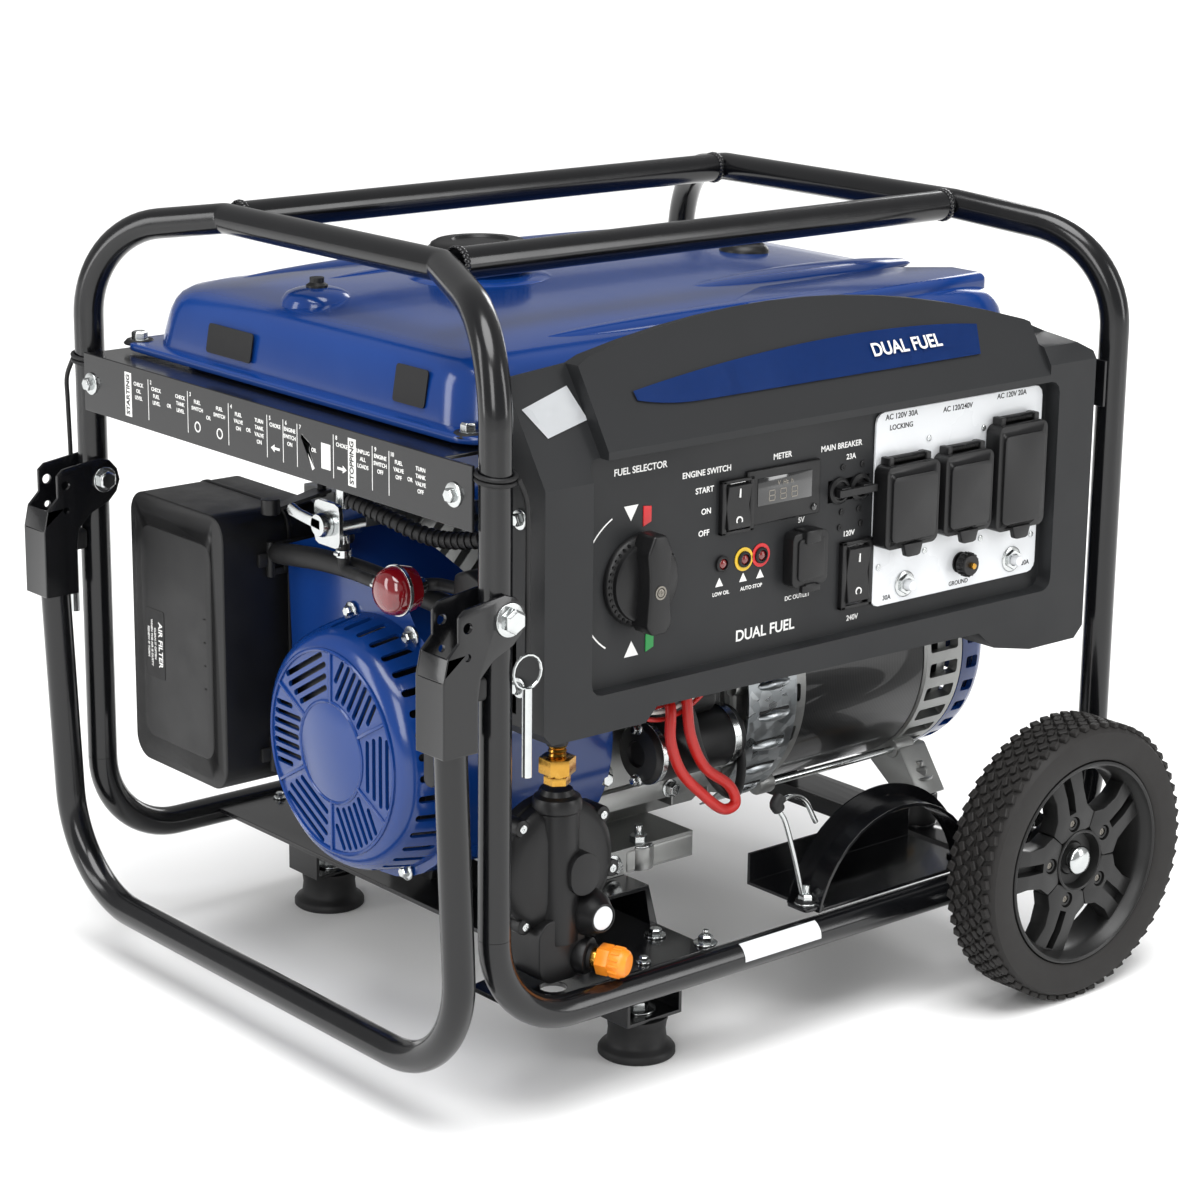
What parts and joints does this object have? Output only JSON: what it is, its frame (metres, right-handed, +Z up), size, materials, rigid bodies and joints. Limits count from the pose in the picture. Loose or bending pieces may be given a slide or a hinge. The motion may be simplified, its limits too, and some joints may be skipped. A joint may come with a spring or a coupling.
{
  "type": "portable generator",
  "caption": "Open tube-frame engine generator with pressed fuel tank, outlet panel with lidded sockets, recoil start, folding pull handle, wheels and rubber feet.",
  "frame": {"origin": "ground plane under the middle of the machine's footprint", "axes": "+X runs from the recoil-start end to the alternator end, -Y faces the user at the control panel, +Z is up"},
  "size_m": [0.749, 0.738, 0.6627],
  "materials": {
    "black_enamel": "black powder coat, satin gloss",
    "black_plastic": "moulded black plastic, fine texture",
    "panel_plastic": "moulded charcoal plastic",
    "blue_enamel": "gloss blue enamel",
    "cast_aluminium": "sand-cast and die-cast aluminium, dull",
    "zinc": "bright zinc plate",
    "steel": "bare and heat-stained steel",
    "rubber": "black rubber",
    "tyre": "black tyre rubber",
    "white_plastic": "white printed plate",
    "red_plastic": "gloss dark red moulding",
    "orange_plastic": "orange moulded cap"
  },
  "bodies": {
    "frame": {"left_hoop": "black_enamel", "right_hoop": "black_enamel", "bottom_rail_front": "black_enamel", "bottom_rail_rear": "black_enamel", "top_rail_front": "black_enamel", "top_rail_rear": "black_enamel", "engine_cross_member": "black_enamel", "alternator_cross_member": "black_enamel", "foot_front": "rubber", "foot_rear": "rubber", "label_rail": "black_enamel", "tank_rail_right": "black_enamel", "tank_upper_shell": "blue_enamel", "tank_lower_tray": "blue_enamel", "control_panel": "panel_plastic", "outlet_plate": "white_plastic", "recoil_cover": "blue_enamel", "fan_shroud": "blue_enamel", "engine_block": "cast_aluminium", "cylinder_head": "cast_aluminium", "starter_motor": "black_plastic", "muffler": "steel", "front_bracket": "cast_aluminium", "stator": "black_enamel", "rear_bearing_housing": "cast_aluminium", "alternator_end_cover": "blue_enamel", "air_filter_base": "black_plastic", "carburettor": "cast_aluminium", "fuel_valve_body": "zinc", "fuel_filter": "red_plastic", "gas_regulator": "black_plastic", "battery_tray": "black_enamel", "axle_bracket_front": "black_enamel", "axle_bracket_rear": "black_enamel", "pin_lanyard_front": "rubber", "lock_pin_front": "zinc", "pin_lanyard_rear": "rubber", "lock_pin_rear": "zinc"},
    "pull_handle": {"handle": "black_enamel"},
    "front_wheel": {"tyre_front": "tyre", "wheel_rim_front": "black_plastic"},
    "rear_wheel": {"tyre_rear": "tyre", "wheel_rim_rear": "black_plastic"},
    "crankshaft": {"crank_rotor": "steel"},
    "selector": {"fuel_selector_knob": "black_plastic"},
    "engine_switch": {"engine_rocker": "black_plastic"},
    "voltage_switch": {"voltage_rocker": "black_plastic"},
    "breaker": {"breaker_lever": "black_plastic"},
    "left_outlet_lid": {"outlet_cover_left": "black_plastic"},
    "middle_outlet_lid": {"outlet_cover_middle": "black_plastic"},
    "right_outlet_lid": {"outlet_cover_right": "black_plastic"},
    "usb_lid": {"usb_cover": "black_plastic"},
    "left_reset": {"reset_button_left": "zinc"},
    "right_reset": {"reset_button_right": "zinc"},
    "tank_cap": {"fuel_cap": "black_plastic"},
    "valve_lever": {"fuel_valve_lever": "zinc"},
    "choke": {"choke_lever": "black_plastic"},
    "starter_grip": {"recoil_grip": "black_plastic"},
    "filter_cover": {"air_filter_cover": "black_plastic"},
    "gas_cap": {"gas_inlet_cap": "orange_plastic"}
  },
  "joints": [
    {"name": "handle_fold", "type": "hinge", "parent": "frame", "child": "pull_handle", "pos_m": [-0.3145, 0, 0.418], "axis": [0, 1, 0], "range_deg": [0, 90]},
    {"name": "front_wheel_spin", "type": "hinge", "parent": "frame", "child": "front_wheel", "pos_m": [0.2525, -0.342, 0.122], "axis": [0, 1, 0], "continuous": true},
    {"name": "rear_wheel_spin", "type": "hinge", "parent": "frame", "child": "rear_wheel", "pos_m": [0.2525, 0.342, 0.122], "axis": [0, 1, 0], "continuous": true},
    {"name": "crankshaft_spin", "type": "hinge", "parent": "frame", "child": "crankshaft", "pos_m": [-0.0145, -0.06, 0.255], "axis": [1, 0, 0], "continuous": true},
    {"name": "selector_turn", "type": "hinge", "parent": "frame", "child": "selector", "pos_m": [-0.1745, -0.29, 0.421], "axis": [0, -1, 0], "range_deg": [0, 180]},
    {"name": "engine_switch_rock", "type": "hinge", "parent": "frame", "child": "engine_switch", "pos_m": [-0.078, -0.277, 0.4645], "axis": [1, 0, 0], "range_deg": [-10, 10]},
    {"name": "voltage_switch_rock", "type": "hinge", "parent": "frame", "child": "voltage_switch", "pos_m": [0.054, -0.277, 0.389], "axis": [1, 0, 0], "range_deg": [-8, 8]},
    {"name": "breaker_trip", "type": "hinge", "parent": "frame", "child": "breaker", "pos_m": [0.045, -0.278, 0.46], "axis": [1, 0, 0], "range_deg": [-12, 12]},
    {"name": "left_outlet_lid_lift", "type": "hinge", "parent": "frame", "child": "left_outlet_lid", "pos_m": [0.0995, -0.281, 0.483], "axis": [-1, 0, 0], "range_deg": [0, 100]},
    {"name": "middle_outlet_lid_lift", "type": "hinge", "parent": "frame", "child": "middle_outlet_lid", "pos_m": [0.1645, -0.281, 0.483], "axis": [-1, 0, 0], "range_deg": [0, 100]},
    {"name": "right_outlet_lid_lift", "type": "hinge", "parent": "frame", "child": "right_outlet_lid", "pos_m": [0.2275, -0.281, 0.499], "axis": [-1, 0, 0], "range_deg": [0, 100]},
    {"name": "usb_lid_lift", "type": "hinge", "parent": "frame", "child": "usb_lid", "pos_m": [-0.0065, -0.278, 0.436], "axis": [-1, 0, 0], "range_deg": [0, 95]},
    {"name": "left_reset_press", "type": "slide", "parent": "frame", "child": "left_reset", "axis": [0, 1, 0], "range_m": [0, 0.003], "stiffness_N_per_m": 200},
    {"name": "right_reset_press", "type": "slide", "parent": "frame", "child": "right_reset", "axis": [0, 1, 0], "range_m": [0, 0.003], "stiffness_N_per_m": 200},
    {"name": "tank_cap_lift", "type": "slide", "parent": "frame", "child": "tank_cap", "axis": [0, 0, 1], "range_m": [0, 0.06]},
    {"name": "fuel_valve_turn", "type": "hinge", "parent": "frame", "child": "valve_lever", "pos_m": [-0.3025, -0.047, 0.438], "axis": [-1, 0, 0], "range_deg": [0, 90]},
    {"name": "choke_turn", "type": "hinge", "parent": "frame", "child": "choke", "pos_m": [-0.2085, 0.09, 0.425], "axis": [0, 0, 1], "range_deg": [0, 30]},
    {"name": "starter_pull", "type": "slide", "parent": "frame", "child": "starter_grip", "axis": [-1, 0, 0], "range_m": [0, 0.3]},
    {"name": "filter_cover_pull", "type": "slide", "parent": "frame", "child": "filter_cover", "axis": [-1, 0, 0], "range_m": [0, 0.1]},
    {"name": "gas_cap_pull", "type": "slide", "parent": "frame", "child": "gas_cap", "axis": [0.4624, -0.8846, -0.0603], "range_m": [0, 0.04]}
  ]
}
